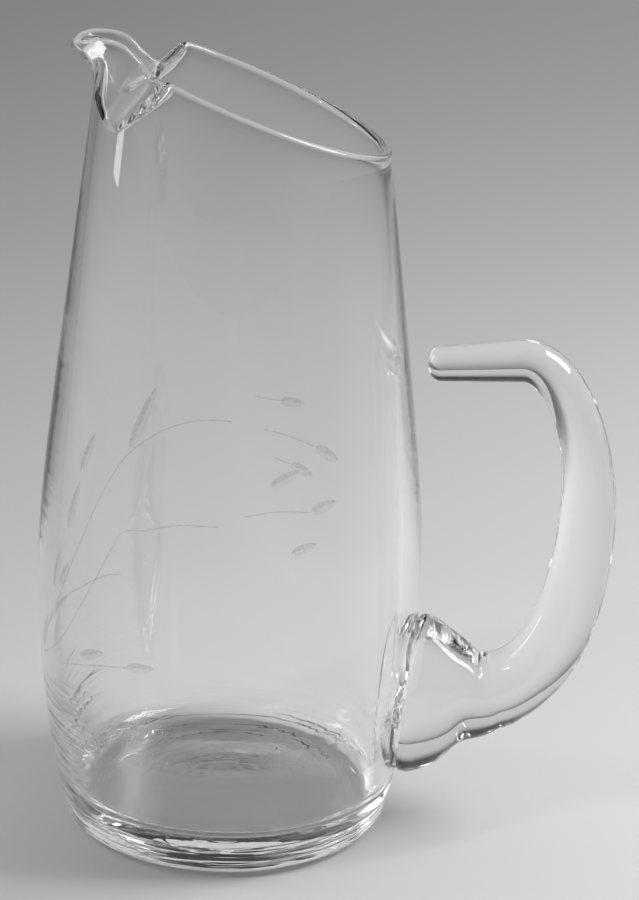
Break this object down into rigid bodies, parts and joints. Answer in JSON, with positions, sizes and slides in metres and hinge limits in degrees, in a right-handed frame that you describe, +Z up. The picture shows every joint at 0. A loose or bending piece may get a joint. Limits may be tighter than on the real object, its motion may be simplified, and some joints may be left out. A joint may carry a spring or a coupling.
{
  "type": "cocktail pitcher",
  "caption": "Tapered clear glass pitcher with a heavy base, a slanted rim, a pinched pouring lip and a hooked cane handle whose upper end is free.",
  "frame": {"origin": "centre of the foot ring on the body's axis, at the height of the table", "axes": "+Z up along the body's axis, +X from the axis towards the handle, so the spout points to -X"},
  "size_m": [0.1681, 0.112, 0.2336],
  "materials": {
    "clear_glass": "clear, fire-polished"
  },
  "bodies": {
    "root": {"vessel": "clear_glass", "handle": "clear_glass"}
  },
  "joints": []
}
